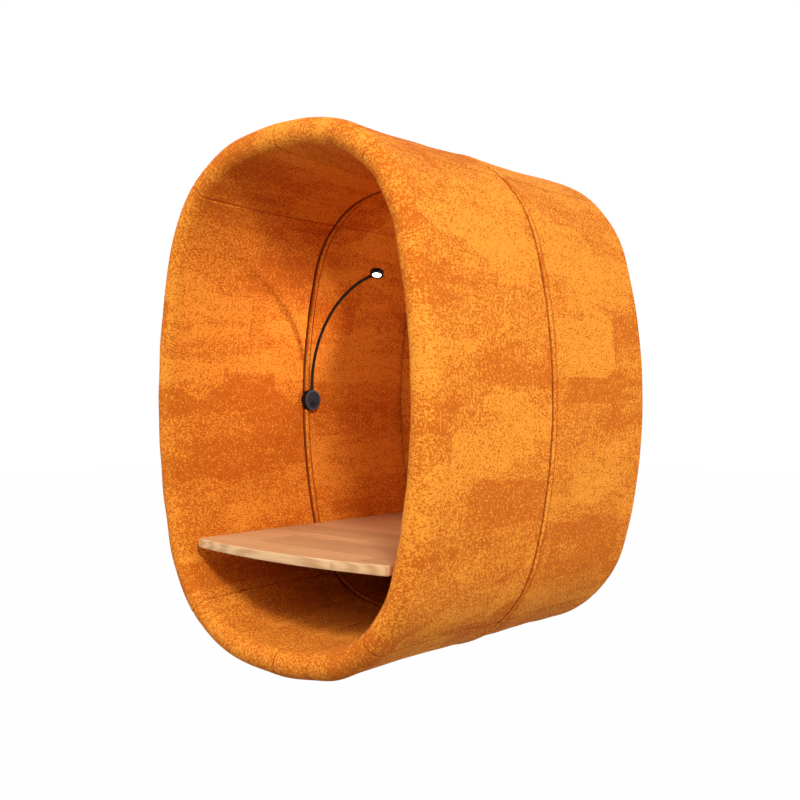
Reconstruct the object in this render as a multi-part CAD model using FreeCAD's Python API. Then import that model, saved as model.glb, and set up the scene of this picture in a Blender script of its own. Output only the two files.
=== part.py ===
# Wall-hung acoustic work nook: a padded shell in two halves, an oak desk board and a gooseneck lamp.
# Millimetres, +Z up, +Y into the wall. The wall is the plane y = 0, centred on the shell.
import FreeCAD, Part
import math
import os

from FreeCAD import Vector

os.makedirs("parts", exist_ok=True)

# Shell: its outline is the crest line of the front lip, bowed sides joined by round corners
shell_width = 874.0
shell_height = 1200.0
shell_depth = 855.0        # front of the lip to the wall
side_roundness = 1.0933     # radius of the bowed sides, as a share of the height
top_roundness = 0.858       # radius of top and bottom, as a share of the width
corner_roundness = 0.34     # radius of the corners, as a share of the width
lip_radius = 29.0
seam_depth = 430.0         # where the front and back halves meet
outer_swell = 26.0         # outside of the padding, beyond the crest line
inner_swell = 44.0         # inside of the padding, within the crest line
front_valley = 4.0         # how far the cover draws in between lip and seam
back_valley = 2.5
front_belly = 5.0          # how far the inside of the front half swells
back_belly = 2.0
seam_groove = 3.0          # the front cover stops this far before the seam
seam_round = 4.0
back_edge_radius = 32.0
back_edge_land = 8.0       # cover turned in over the rim of the back panel
wall_clearance = 3.0       # cover to wall
foam_clearance = 0.3

# Plywood inside the padding
hoop_ply = 15.0
hoop_outer = 9.0           # outside of the hoops, beyond the crest line
hoop_setback = 6.0         # front edge of the hoop behind the lip's centre
flange_ply = 18.0
flange_cover = 13.0        # padding over the inner edge of the flanges
flange_fit = 0.2
panel_ply = 15.0
panel_fit = 0.2

# Piping along the seam, outside and inside
piping_radius = 7.5
outer_piping_proud = 2.0
inner_piping_proud = 4.5

# Bolts through the flanges
bolt_radius = 4.0
bolt_count = 12
bolt_head_radius = 7.0
bolt_head_height = 5.5
nut_height = 6.5
bolt_hole_clearance = 0.25
head_room = 10.0           # free space for heads and nuts beside the flanges

# Screws from the hoop into the back panel
panel_screw_radius = 2.5
panel_screw_length = 50.0
panel_screw_count = 16
screw_hole_clearance = 0.1

# Acoustic pad in front of the back panel
pad_thickness = 18.0
pad_fit = 0.6
pad_crown = 5.0
pad_edge = 18.0            # width over which the pad rolls down to its edge

# Hanging rails: a pair near the top and a pair near the bottom
rail_thickness = 4.0
rail_play = 0.4
rail_end_inset = 157.0     # from the side of the shell to the end of a rail
rail_hook = 18.0           # lip of the shell's rail behind the wall's rail
rail_slot = 20.0
rail_base = 40.0
rail_fixing_inset = 260.0  # from the top and bottom of the shell to the rows of wall fixings
rail_hole_margin = 50.0
rail_hole_radius = 4.5
rail_screw_radius = 3.0
rail_screw_length = 13.0   # inside the panel
rail_screw_head = 5.6
rail_screw_margin = 85.0

# Cable entry in the back panel
grommet_radius = 14.0
grommet_bore = 8.0
grommet_lip = 3.0
grommet_lip_width = 4.0
grommet_x = -170.0

# Desk board
board_level = 0.225        # height of the desk surface above the bottom, as a share of the shell's
board_thickness = 22.0
board_front = 32.0         # depth of the front corners
board_bow = 30.0           # how far the front edge bows forward
board_front_inset = 6.0    # how much each side draws in at the front corners
board_taper_ahead = 120.0  # the sides become parallel this far before the seam
board_back_gap = 4.0
board_corner = 14.0
board_edge = 3.0
board_clearance = 0.5

# Timber cleats that carry the board
cleat_height = 42.0
cleat_foot = 22.0          # width along its underside
cleat_ahead = 130.0        # length of a cleat before the seam
cleat_clearance = 0.5
cleat_screw_radius = 3.0
cleat_screw_ahead = 85.0   # front screw, before the seam
cleat_screw_margin = 70.0  # behind the seam, and before the pad
cleat_screw_rows = 3       # behind the seam
cleat_screw_bite = 12.0    # screw length inside the hoop
cleat_screw_grip = 24.0    # screw length inside the cleat
cleat_screw_level = 0.4    # how far up the cleat, as a share of its height
cleat_screw_head = 5.5
cleat_screw_sink = 4.0
board_screw_radius = 2.5
board_screw_ahead = 40.0   # front screw, before the seam; the others are between the cleat screws
board_screw_bite = 14.0
board_screw_inset = 12.5   # from the wall's side of the cleat, along its underside
board_screw_head = 4.5
board_screw_head_height = 3.0

# Lamp on the left inner wall; sizes along its axis count from the wall inwards
lamp_behind_seam = 16.0
lamp_height = -3.0
lamp_seat = 0.1            # the padding is cut flat under the base, this far behind it
base_radius = 27.5
base_length = 18.0
base_wall = 3.5
base_edge = 1.6
base_border = 5.2          # width of the raised border round the face
face_thickness = 2.5
face_recess = 0.8
face_ledge = 3.0
face_fit = 0.2
plate_thickness = 2.5
plate_fit = 0.2
lamp_screw_radius = 1.75
lamp_screw_length = 38.0
lamp_screw_spread = 14.0
lamp_screw_head = 3.4
lamp_screw_head_height = 2.0

# Rocker switch low on the lamp's face; it rocks about an upright pin behind the face
rocker_drop = 10.0
rocker_length = 10.0       # along the wall
rocker_width = 10.0        # up and down
rocker_proud = 1.8         # its ends beyond the face, when level
rocker_dip = 0.9
rocker_foot = 2.0          # below the pin
rocker_taper = 1.0
rocker_tilt = 7.0          # either side of level
rocker_end_play = 0.9
rocker_side_play = 0.3
rocker_pin_radius = 0.9
rocker_pin_clearance = 0.05
pivot_behind_face = 1.5
switch_wall = 1.6
switch_depth = 8.0

# Gooseneck: an arc of ball-jointed lengths, rising from the base and leaning into the nook
neck_radius = 3.5
neck_from_wall = 13.0
neck_arc = 290.0
neck_turn = 76.0
neck_links = 6
link_gap = 1.3
ball_radius = 3.2
ball_clearance = 0.06
ferrule_radius = 5.0
ferrule_rise = 10.0
ferrule_seat = 0.05

# Lamp head
head_radius = 18.0
head_height = 13.0
head_edge = 4.0
head_wall = 6.0
head_roof = 4.0
head_roll = 20.0           # towards the front of the nook
collar_radius = 5.0
collar_length = 8.0
collar_grip = 4.0          # length of neck inside the collar
collar_fit = 0.1
lens_thickness = 2.5
lens_recess = 0.6
lens_fit = 0.15
led_board_thickness = 1.6
lens_ledge = 1.5
led_fit = 0.1

# Values worked out from those above
side_radius = side_roundness * shell_height
top_radius = top_roundness * shell_width
corner_radius = corner_roundness * shell_width
half_width = shell_width / 2 - lip_radius
half_height = shell_height / 2 - lip_radius
hoop_inner = hoop_outer - hoop_ply
flange_inner = -(inner_swell - flange_cover)
hoop_front = lip_radius + hoop_setback
front_end = seam_depth - seam_groove
piping_depth = seam_depth + foam_clearance + piping_radius
back_start = piping_depth + piping_radius + foam_clearance
panel_back = shell_depth - 2 * rail_thickness - 2 * rail_play
panel_front = panel_back - panel_ply
cover_back = shell_depth - wall_clearance
pad_front = panel_front - foam_clearance - pad_thickness
rail_length = shell_width - 2 * rail_end_inset
rail_fixing_pitch = shell_height - 2 * rail_fixing_inset
rail_hole_pitch = rail_length / 2 - rail_hole_margin
board_top = (board_level - 0.5) * shell_height
board_bottom = board_top - board_thickness
board_taper_depth = seam_depth - board_taper_ahead
cleat_front = seam_depth - cleat_ahead
cleat_screw_first = seam_depth + cleat_screw_margin
cleat_screw_step = (pad_front - cleat_screw_margin - cleat_screw_first) / (cleat_screw_rows - 1)
back_cleat_screws = [cleat_screw_first + cleat_screw_step * k for k in range(cleat_screw_rows)]
cleat_screw_depths = [seam_depth - cleat_screw_ahead] + back_cleat_screws
back_board_screws = [depth + cleat_screw_step / 2 for depth in back_cleat_screws[:-1]]
board_screw_depths = [seam_depth - board_screw_ahead] + back_board_screws
lamp_depth = seam_depth + lamp_behind_seam
origin = Vector(0, 0, 0)
along_x = Vector(1, 0, 0)
along_y = Vector(0, 1, 0)
along_z = Vector(0, 0, 1)


def at_depth(depth):
    return depth - shell_depth


def save(shape, node):
    shape.exportStep("parts/" + node + ".step")


def group(shapes):
    return Part.makeCompound(shapes)


def rod(radius, start, end):
    axis = end - start
    return Part.makeCylinder(radius, axis.Length, start, axis)


def turned(points):
    # solid of revolution about +Z from (radius, height) corners; a point pair is an arc through the first
    edges = []
    here = points[0]
    for move in points[1:] + [points[0]]:
        path = move if isinstance(move[0], tuple) else (move,)
        edges.append(section_edge([Vector(r, 0, z) for r, z in (here,) + path]))
        here = path[-1]
    return Part.Face(Part.Wire(edges)).revolve(origin, along_z, 360)


# Shell outline: four bowed sides and four round corners, tangent where they meet
def corner_centre():
    side = Vector(half_width - side_radius, 0, 0)
    top = Vector(0, 0, half_height - top_radius)
    reach_side = side_radius - corner_radius
    reach_top = top_radius - corner_radius
    span = (top - side).Length
    along = (reach_side ** 2 - reach_top ** 2 + span ** 2) / (2 * span)
    aside = math.sqrt(reach_side ** 2 - along ** 2)
    unit = (top - side) * (1 / span)
    return side + unit * along + Vector(-unit.z, 0, unit.x) * aside


corner = corner_centre()
side_end = math.atan2(corner.z, corner.x - half_width + side_radius)
corner_end = math.atan2(corner.z - half_height + top_radius, corner.x)


def outline_arcs():
    # centre, radius, first and last angle of each arc, anticlockwise from the middle of the right side
    side_x = half_width - side_radius
    top_z = half_height - top_radius
    half = math.pi
    return [
        (Vector(side_x, 0, 0), side_radius, -side_end, side_end),
        (Vector(corner.x, 0, corner.z), corner_radius, side_end, corner_end),
        (Vector(0, 0, top_z), top_radius, corner_end, half - corner_end),
        (Vector(-corner.x, 0, corner.z), corner_radius, half - corner_end, half - side_end),
        (Vector(-side_x, 0, 0), side_radius, half - side_end, half + side_end),
        (Vector(-corner.x, 0, -corner.z), corner_radius, half + side_end, half + corner_end),
        (Vector(0, 0, -top_z), top_radius, half + corner_end, 2 * half - corner_end),
        (Vector(corner.x, 0, -corner.z), corner_radius, 2 * half - corner_end, 2 * half - side_end),
    ]


def on_outline(angle, offset, depth):
    # the outline's point that faces this angle
    turn = (angle + side_end) % (2 * math.pi) - side_end
    for centre, radius, first, last in outline_arcs():
        if first <= turn <= last:
            reach = radius + offset
            return centre + Vector(reach * math.cos(turn), at_depth(depth), reach * math.sin(turn))


def facing(angle):
    return Vector(math.cos(angle), 0, math.sin(angle))


def wall_angle(height, offset):
    # angle that the right wall faces at a height below the middle
    if -height <= (side_radius + offset) * math.sin(side_end):
        return math.asin(height / (side_radius + offset))
    return -math.asin((-height - corner.z) / (corner_radius + offset))


def outline_face(offset, depth):
    edges = []
    for _, _, first, last in outline_arcs():
        spots = [on_outline(a, offset, depth) for a in (first, (first + last) / 2, last)]
        edges.append(Part.Arc(*spots).toShape())
    return Part.Face(Part.Wire(edges))


def slab(offset, front, back):
    return outline_face(offset, front).extrude(along_y * (back - front))


def section_edge(spots):
    # two spots make a line, three an arc through the second, four a curve with two poles
    if len(spots) == 2:
        return Part.LineSegment(*spots).toShape()
    if len(spots) == 3:
        return Part.Arc(*spots).toShape()
    curve = Part.BezierCurve()
    curve.setPoles(spots)
    return curve.toShape()


def ring(start, moves):
    # a wall section in (offset, depth), carried round the outline
    sectors = []
    for centre, radius, first, last in outline_arcs():
        def place(spot):
            reach = radius + spot[0]
            return centre + Vector(reach * math.cos(first), at_depth(spot[1]), reach * math.sin(first))
        edges = []
        here = start
        for move in moves:
            edges.append(section_edge([place(spot) for spot in (here,) + move]))
            here = move[-1]
        face = Part.Face(Part.Wire(edges))
        sectors.append(face.revolve(centre, -along_y, math.degrees(last - first)))
    return sectors[0].multiFuse(sectors[1:]).removeSplitter().Solids[0]


def ring_block(inner, outer, front, back):
    return ring((inner, front), [((outer, front),), ((outer, back),), ((inner, back),), ((inner, front),)])


def round_ring(offset, depth, radius):
    near = (offset, depth - radius)
    far = (offset, depth + radius)
    return ring(near, [((offset + radius, depth), far), ((offset - radius, depth), near)])


def bow(first, last, sag):
    # poles and end of a shallow curve that is drawn in by sag half way along
    lift = sag * 4 / 3
    run = (last[0] - first[0], last[1] - first[1])
    near = (first[0] + run[0] / 3 + lift, first[1] + run[1] / 3)
    far = (first[0] + run[0] * 2 / 3 + lift, first[1] + run[1] * 2 / 3)
    return (near, far, last)


def quarter(centre, radius, angle):
    # point in the middle of a quarter round
    return (centre[0] + radius * math.cos(angle), centre[1] + radius * math.sin(angle))


# Padded covers
def front_cover_ring():
    lip_out = (lip_radius, lip_radius)
    lip_in = (-lip_radius, lip_radius)
    seam_out = (outer_swell, front_end - seam_round)
    seam_in = (-inner_swell, front_end - seam_round)
    slot_in = hoop_inner - foam_clearance
    slot_out = hoop_outer + foam_clearance
    flange_slot = flange_inner - foam_clearance
    flange_front = seam_depth - flange_ply - head_room
    diagonal = math.pi / 4
    return ring((outer_swell - seam_round, front_end), [
        (quarter((outer_swell - seam_round, front_end - seam_round), seam_round, diagonal), seam_out),
        bow(seam_out, lip_out, -front_valley),
        (quarter((0, lip_radius), lip_radius, -diagonal), (0, 0)),
        (quarter((0, lip_radius), lip_radius, -3 * diagonal), lip_in),
        bow(lip_in, seam_in, -front_belly),
        (quarter((seam_round - inner_swell, front_end - seam_round), seam_round, 3 * diagonal),
         (seam_round - inner_swell, front_end)),
        ((flange_slot, front_end),),
        ((flange_slot, flange_front),),
        ((slot_in, flange_front),),
        ((slot_in, hoop_front - foam_clearance),),
        ((slot_out, hoop_front - foam_clearance),),
        ((slot_out, front_end),),
        ((outer_swell - seam_round, front_end),),
    ])


def back_cover_ring():
    inside = hoop_outer + foam_clearance
    seam = (outer_swell, back_start)
    shoulder = (outer_swell, cover_back - back_edge_radius)
    rear = (outer_swell - back_edge_radius, cover_back)
    hem = outer_swell - back_edge_radius - back_edge_land
    turn = quarter((rear[0], shoulder[1]), back_edge_radius, math.pi / 4)
    return ring((inside, back_start), [
        (seam,),
        bow(seam, shoulder, -back_valley),
        (turn, rear),
        ((hem, cover_back),),
        ((hem, panel_back + foam_clearance),),
        ((inside, panel_back + foam_clearance),),
        ((inside, back_start),),
    ])


def back_lining_ring():
    outside = hoop_inner - foam_clearance
    flange_slot = flange_inner - foam_clearance
    flange_back = seam_depth + flange_ply + head_room
    first = (-inner_swell, back_start)
    last = (-inner_swell, panel_front - foam_clearance)
    return ring((outside, flange_back), [
        ((flange_slot, flange_back),),
        ((flange_slot, back_start),),
        (first,),
        bow(first, last, -back_belly),
        ((outside, last[1]),),
        ((outside, flange_back),),
    ])


def back_pad_solid():
    # crowned pad: its face rolls down to the edge in two steps
    edge = -inner_swell - back_belly - pad_fit
    steps = [
        (edge, panel_front - foam_clearance),
        (edge, pad_front + pad_crown),
        (edge - pad_edge * 0.3, pad_front + pad_crown * 0.35),
        (edge - pad_edge, pad_front),
    ]
    return Part.makeLoft([outline_face(*step).OuterWire for step in steps], True, True)


# Plywood structure
def ring_angles(count):
    return [2 * math.pi * k / count for k in range(count)]


def flange_bolt_spots(depth):
    offset = (flange_inner + hoop_inner) / 2
    return [on_outline(angle, offset, depth) for angle in ring_angles(bolt_count)]


def drill(shape, radius, spots, direction, length):
    return shape.cut(group([Part.makeCylinder(radius, length, spot, direction) for spot in spots]))


def flange(front, back):
    plain = ring_block(flange_inner, hoop_inner - flange_fit, front, back)
    hole = bolt_radius + bolt_hole_clearance
    return drill(plain, hole, flange_bolt_spots(front - 1), along_y, back - front + 2)


def flange_bolt(spot):
    # spot is on the axis at the back face of the back flange
    tip = spot - along_y * (2 * flange_ply + nut_height)
    head = Part.makeCylinder(bolt_head_radius, bolt_head_height, spot, along_y)
    return rod(bolt_radius, tip, spot).fuse(head).removeSplitter()


def flange_nut(spot):
    # spot is on the axis at the front face of the front flange
    front = spot - along_y * nut_height
    ring_of_six = [2 * math.pi * k / 6 for k in range(7)]
    corners = [front + facing(angle) * bolt_head_radius for angle in ring_of_six]
    block = Part.Face(Part.makePolygon(corners)).extrude(along_y * nut_height)
    bore = Part.makeCylinder(bolt_radius + bolt_hole_clearance, nut_height, front, along_y)
    return block.cut(bore)


def panel_screw(angle):
    depth = (panel_front + panel_back) / 2
    head = on_outline(angle, hoop_outer, depth)
    return head, head - facing(angle) * panel_screw_length


panel_screw_angles = [a + math.pi / panel_screw_count for a in ring_angles(panel_screw_count)]


def panel_screw_holes(shape):
    bores = [rod(panel_screw_radius + screw_hole_clearance, *panel_screw(a)) for a in panel_screw_angles]
    return shape.cut(group(bores))


# Desk supports: screws run along the wall's normal through cleat, padding and hoop
def cleat_offset():
    return -(inner_swell + inner_piping_proud + cleat_clearance)


def cleat_screw_ends(depth):
    height = board_bottom - cleat_height * (1 - cleat_screw_level)
    angle = wall_angle(height, cleat_offset())
    tip = on_outline(angle, hoop_inner + cleat_screw_bite, depth)
    head = on_outline(angle, cleat_offset() - cleat_screw_grip, depth)
    return head, tip


def cleat_screw_solid(depth):
    head, tip = cleat_screw_ends(depth)
    inward = (head - tip).normalize()
    cap = Part.makeCylinder(cleat_screw_head, cleat_screw_sink, head - inward * cleat_screw_sink, inward)
    return rod(cleat_screw_radius, tip, head).fuse(cap).removeSplitter()


def cleat_screw_bores(clearance):
    bores = [rod(cleat_screw_radius + clearance, *cleat_screw_ends(d)) for d in cleat_screw_depths]
    return both_sides(group(bores))


def mirrored(shape):
    return shape.mirror(origin, along_x)


def both_sides(shape):
    return group(shape.Solids + mirrored(shape).Solids)


def board_side():
    # half width of the board where it meets the lining
    offset = -inner_swell - back_belly
    return on_outline(wall_angle(board_bottom, offset), offset, 0).x - board_clearance


def cleat_foot_x():
    # where the underside of the cleat meets the wall
    angle = wall_angle(board_bottom - cleat_height, cleat_offset())
    return on_outline(angle, cleat_offset(), 0).x


def board_screw_spots(height):
    return [Vector(cleat_foot_x() - board_screw_inset, at_depth(d), height) for d in board_screw_depths]


def board_screw_solid(spot):
    # spot is on the axis at the underside of the cleat
    shank = rod(board_screw_radius, spot, spot + along_z * (cleat_height + board_screw_bite))
    head = rod(board_screw_head, spot - along_z * board_screw_head_height, spot)
    return shank.fuse(head).removeSplitter()


def cleat_solid():
    inner_x = cleat_foot_x() - cleat_foot
    back = pad_front - board_back_gap
    size = (board_side() - inner_x, back - cleat_front, cleat_height)
    block = Part.makeBox(*size, Vector(inner_x, at_depth(cleat_front), board_bottom - cleat_height))
    shaped = block.common(slab(cleat_offset(), cleat_front, back))
    drilled = shaped.cut(cleat_screw_bores(screw_hole_clearance))
    sinks = []
    for depth in cleat_screw_depths:
        head, tip = cleat_screw_ends(depth)
        inward = (head - tip).normalize()
        start = head - inward * (cleat_screw_sink + screw_hole_clearance)
        sinks.append(rod(cleat_screw_head + screw_hole_clearance, start, start + inward * 2 * cleat_foot))
    drilled = drilled.cut(group(sinks))
    spots = board_screw_spots(board_bottom - cleat_height)
    return drill(drilled, board_screw_radius + screw_hole_clearance, spots, along_z, cleat_height).Solids[0]


def board_plan():
    side = board_side()
    front = at_depth(board_front)
    taper = at_depth(board_taper_depth)
    back = at_depth(pad_front - board_back_gap)
    left_front = Vector(board_front_inset - side, front, 0)
    right_front = Vector(side - board_front_inset, front, 0)
    nose = Vector(0, front - board_bow, 0)
    edges = [Part.Arc(left_front, nose, right_front).toShape()]
    corners = [right_front, Vector(side, taper, 0), Vector(side, back, 0), Vector(-side, back, 0),
               Vector(-side, taper, 0), left_front]
    for one, two in zip(corners, corners[1:]):
        edges.append(Part.LineSegment(one, two).toShape())
    return Part.Face(Part.Wire(edges))


def is_front_corner(edge):
    spot = edge.CenterOfMass
    upright = abs(edge.tangentAt(edge.FirstParameter).z) > 0.99
    return upright and abs(spot.y - at_depth(board_front)) < 1


def is_rim(edge):
    spot = edge.CenterOfMass
    flat = abs(edge.tangentAt(edge.FirstParameter).z) < 0.01
    on_face = min(abs(spot.z - board_top), abs(spot.z - board_bottom)) < 0.01
    return flat and on_face


def board_solid():
    plan = board_plan()
    plan.translate(along_z * board_bottom)
    board = plan.extrude(along_z * board_thickness)
    board = board.makeFillet(board_corner, [e for e in board.Edges if is_front_corner(e)])
    board = board.makeFillet(board_edge, [e for e in board.Edges if is_rim(e)])
    notch_depth = inner_piping_proud + board_clearance
    notch = Part.makeBox(
        2 * notch_depth, 2 * piping_radius + 2 * board_clearance, board_thickness,
        Vector(board_side() - notch_depth, at_depth(piping_depth - piping_radius - board_clearance), board_bottom))
    board = board.cut(both_sides(group([notch])))
    pilots = [rod(board_screw_radius + screw_hole_clearance, spot, spot + along_z * board_screw_bite)
              for spot in board_screw_spots(board_bottom)]
    return board.cut(both_sides(group(pilots))).Solids[0]


# Hanging rails, as sections in (y, z) about the height where they hook together
def bar(corners, hook_height):
    spots = [Vector(-rail_length / 2, y, hook_height + z) for y, z in corners]
    return Part.Face(Part.makePolygon(spots + spots[:1])).extrude(along_x * rail_length)


rail_hole_drop = rail_slot + rail_thickness + (rail_base - rail_thickness) / 2
rail_heights = {
    "upper": rail_fixing_pitch / 2 + rail_hole_drop,
    "lower": -rail_fixing_pitch / 2 + rail_hole_drop,
}
rail_screw_rise = (rail_thickness + rail_base) / 2


def shell_rail_section():
    lip_back = -rail_play / 2
    lip_front = -rail_thickness - rail_play / 2
    base_back = -rail_thickness - 2 * rail_play
    base_front = -2 * rail_thickness - 2 * rail_play
    return [(lip_back, -rail_hook), (lip_back, rail_thickness), (base_back, rail_thickness),
            (base_back, rail_base), (base_front, rail_base), (base_front, 0), (lip_front, 0),
            (lip_front, -rail_hook)]


def wall_rail_section():
    lip_back = -rail_thickness - rail_play
    lip_front = -2 * rail_thickness - rail_play
    foot = -rail_slot - rail_base
    return [(lip_back, 0), (lip_back, -rail_slot), (0, -rail_slot), (0, foot), (-rail_thickness, foot),
            (-rail_thickness, -rail_slot - rail_thickness), (lip_front, -rail_slot - rail_thickness),
            (lip_front, 0)]


def rail_screw_spots(hook_height):
    back = -rail_thickness - 2 * rail_play
    outermost = rail_length / 2 - rail_screw_margin
    columns = [outermost * k for k in (-1, -1 / 3, 1 / 3, 1)]
    return [Vector(x, back, hook_height + rail_screw_rise) for x in columns]


def countersunk(spot, clearance):
    # screw with its flat head flush at spot, pointing away from the wall
    cone_length = rail_screw_head - rail_screw_radius
    into = -along_y
    cone = Part.makeCone(rail_screw_head + clearance, rail_screw_radius + clearance, cone_length, spot, into)
    shank = rod(rail_screw_radius + clearance, spot, spot + into * (rail_thickness + rail_screw_length))
    return cone.fuse(shank).removeSplitter()


def shell_rail(hook_height):
    sinks = group([countersunk(spot, screw_hole_clearance) for spot in rail_screw_spots(hook_height)])
    return bar(shell_rail_section(), hook_height).cut(sinks)


def wall_rail(hook_height):
    height = hook_height - rail_hole_drop
    spots = [Vector(rail_hole_pitch * k, -2 * rail_thickness, height) for k in (-1, 0, 1)]
    return drill(bar(wall_rail_section(), hook_height), rail_hole_radius, spots, along_y, 4 * rail_thickness)


def back_panel_solid():
    panel = panel_screw_holes(slab(hoop_inner - panel_fit, panel_front, panel_back))
    sinks = [countersunk(spot, screw_hole_clearance)
             for height in rail_heights.values() for spot in rail_screw_spots(height)]
    entry = Vector(grommet_x, at_depth(panel_front), 0)
    sinks.append(Part.makeCylinder(grommet_radius, panel_ply, entry, along_y))
    return panel.cut(group(sinks)).Solids[0]


def grommet_solid():
    lip = grommet_radius + grommet_lip_width
    profile = [(grommet_bore, 0), (grommet_radius, 0), (grommet_radius, panel_ply), (lip, panel_ply),
               (lip - 1, panel_ply + grommet_lip), (grommet_bore, panel_ply + grommet_lip)]
    ring_shape = turned(profile)
    ring_shape.rotate(origin, along_x, -90)
    ring_shape.translate(Vector(grommet_x, at_depth(panel_front), 0))
    return ring_shape


# Lamp: built along +Z from the wall, then turned to face +X; its +X then points down
lamp_wall = on_outline(math.pi, -inner_swell, 0).x
lamp_screw_y = seam_depth + flange_ply / 2 - lamp_depth
cup_radius = base_radius - base_wall
face_radius = base_radius - base_border
face_front = base_length - face_recess
face_back = face_front - face_thickness
pivot_height = face_back - pivot_behind_face
well_length = rocker_length + 2 * rocker_end_play
well_width = rocker_width + 2 * rocker_side_play


def on_wall(shape):
    placed = shape.copy()
    placed.rotate(origin, along_y, 90)
    placed.translate(Vector(lamp_wall, at_depth(lamp_depth), lamp_height))
    return placed


def lamp_footprint(clearance, start):
    # room for the base, from a height under its back face to beyond its front
    return on_wall(Part.makeCylinder(base_radius + clearance, base_length - start, Vector(0, 0, start)))


def lamp_base_solid():
    opening = face_radius - face_ledge
    top = base_length
    edge_middle = quarter((base_radius - base_edge, top - base_edge), base_edge, math.pi / 4)
    return turned([
        (cup_radius, 0), (base_radius, 0), (base_radius, top - base_edge),
        (edge_middle, (base_radius - base_edge, top)),
        (face_radius, top), (face_radius, face_back), (opening, face_back),
        (opening, face_back - base_wall), (cup_radius, face_back - base_wall)])


def lamp_screw_spots(height):
    return [Vector(side * lamp_screw_spread, lamp_screw_y, height) for side in (-1, 1)]


def lamp_screw_bores(clearance):
    radius = lamp_screw_radius + clearance
    return group([rod(radius, spot, spot - along_z * lamp_screw_length)
                  for spot in lamp_screw_spots(plate_thickness)])


def lamp_screw_solid(spot):
    head = rod(lamp_screw_head, spot, spot + along_z * lamp_screw_head_height)
    return rod(lamp_screw_radius, spot - along_z * lamp_screw_length, spot).fuse(head).removeSplitter()


def lamp_plate_solid():
    return Part.makeCylinder(cup_radius - plate_fit, plate_thickness).cut(lamp_screw_bores(screw_hole_clearance))


def switch_block(length, width, bottom, top):
    return Part.makeBox(width, length, top - bottom, Vector(rocker_drop - width / 2, -length / 2, bottom))


def lamp_face_solid():
    disc = Part.makeCylinder(face_radius - face_fit, face_thickness, Vector(0, 0, face_back))
    return disc.cut(switch_block(well_length, well_width, face_back, face_front))


def rocker_pin(radius, length):
    middle = Vector(rocker_drop, 0, pivot_height)
    return rod(radius, middle - along_x * (length / 2), middle + along_x * (length / 2))


def switch_body_solid():
    outer_length = well_length + 2 * switch_wall
    outer_width = well_width + 2 * switch_wall
    bottom = face_back - switch_depth
    block = switch_block(outer_length, outer_width, bottom, face_back)
    hollow = switch_block(well_length, well_width, bottom + switch_wall, face_back)
    return block.cut(hollow).fuse(rocker_pin(rocker_pin_radius, outer_width)).removeSplitter()


def rocker_solid():
    # built level, then turned to the position it rests in
    end = rocker_length / 2
    top = face_front + rocker_proud
    foot = pivot_height - rocker_foot
    section = [(-end, top), (0, top - rocker_dip), (end, top), (end, pivot_height),
               (end - rocker_taper, foot), (rocker_taper - end, foot), (-end, pivot_height)]
    spots = [Vector(rocker_drop - rocker_width / 2, y, z) for y, z in section]
    body = Part.Face(Part.makePolygon(spots + spots[:1])).extrude(along_x * rocker_width)
    body = body.cut(rocker_pin(rocker_pin_radius + rocker_pin_clearance, 2 * rocker_width))
    body.rotate(Vector(rocker_drop, 0, pivot_height), along_x, -rocker_tilt)
    return body


# Gooseneck: angles along its arc run from upright at the ferrule
neck_x = lamp_wall + neck_from_wall
neck_y = at_depth(lamp_depth)
neck_foot = lamp_height + base_radius + ferrule_rise
neck_centre = Vector(neck_x + neck_arc, neck_y, neck_foot)
link_turn = math.radians(neck_turn) / neck_links


def neck_spot(angle):
    return neck_centre + Vector(-math.cos(angle), 0, math.sin(angle)) * neck_arc


def neck_heading(angle):
    return Vector(math.sin(angle), 0, math.cos(angle))


neck_hinges = [neck_spot(link_turn * k) for k in range(neck_links + 1)]


def neck_link(number):
    first = link_turn * (number - 1) + link_gap / neck_arc
    last = link_turn * number
    disc = Part.Face(Part.Wire(Part.Circle(neck_spot(first), neck_heading(first), neck_radius).toShape()))
    link = disc.revolve(neck_centre, along_y, math.degrees(last - first))
    link = link.cut(Part.makeSphere(ball_radius + ball_clearance, neck_hinges[number - 1]))
    if number < neck_links:
        link = link.fuse(Part.makeSphere(ball_radius, neck_hinges[number])).removeSplitter()
    return link.Solids[0]


def ferrule_solid():
    foot = Vector(neck_x, neck_y, lamp_height)
    collar = rod(ferrule_radius, foot, neck_hinges[0])
    seat = on_wall(Part.makeCylinder(base_radius + ferrule_seat, 2 * base_length))
    return collar.cut(seat).fuse(Part.makeSphere(ball_radius, neck_hinges[0])).removeSplitter().Solids[0]


# Lamp head: built with the neck along +X and the lens downwards, then set on the end of the neck
head_x = collar_length + head_radius - head_edge
lens_radius = head_radius - head_wall
head_floor = -head_height / 2
head_ceiling = head_height / 2 - head_roof
lens_top = head_floor + lens_recess + lens_thickness


def on_neck(shape):
    placed = shape.copy()
    placed.rotate(origin, along_x, -head_roll)
    placed.rotate(origin, along_y, neck_turn - 90)
    placed.translate(neck_hinges[neck_links])
    return placed


def head_disc(radius, bottom, top):
    return Part.makeCylinder(radius, top - bottom, Vector(head_x, 0, bottom))


def lamp_head_solid():
    inner = lens_radius - lens_ledge
    top = head_height / 2
    edge_middle = quarter((head_radius - head_edge, top - head_edge), head_edge, math.pi / 4)
    puck = turned([
        (0, top), ((head_radius - head_edge), top), (edge_middle, (head_radius, top - head_edge)),
        (head_radius, head_floor), (lens_radius, head_floor), (lens_radius, lens_top), (inner, lens_top),
        (inner, head_ceiling), (0, head_ceiling)])
    puck.translate(along_x * head_x)
    collar = rod(collar_radius, along_x * -collar_grip, along_x * (head_x - inner - lens_ledge))
    collar = collar.cut(rod(neck_radius + collar_fit, along_x * -collar_grip, origin))
    return puck.fuse(collar).removeSplitter().Solids[0]


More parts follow.
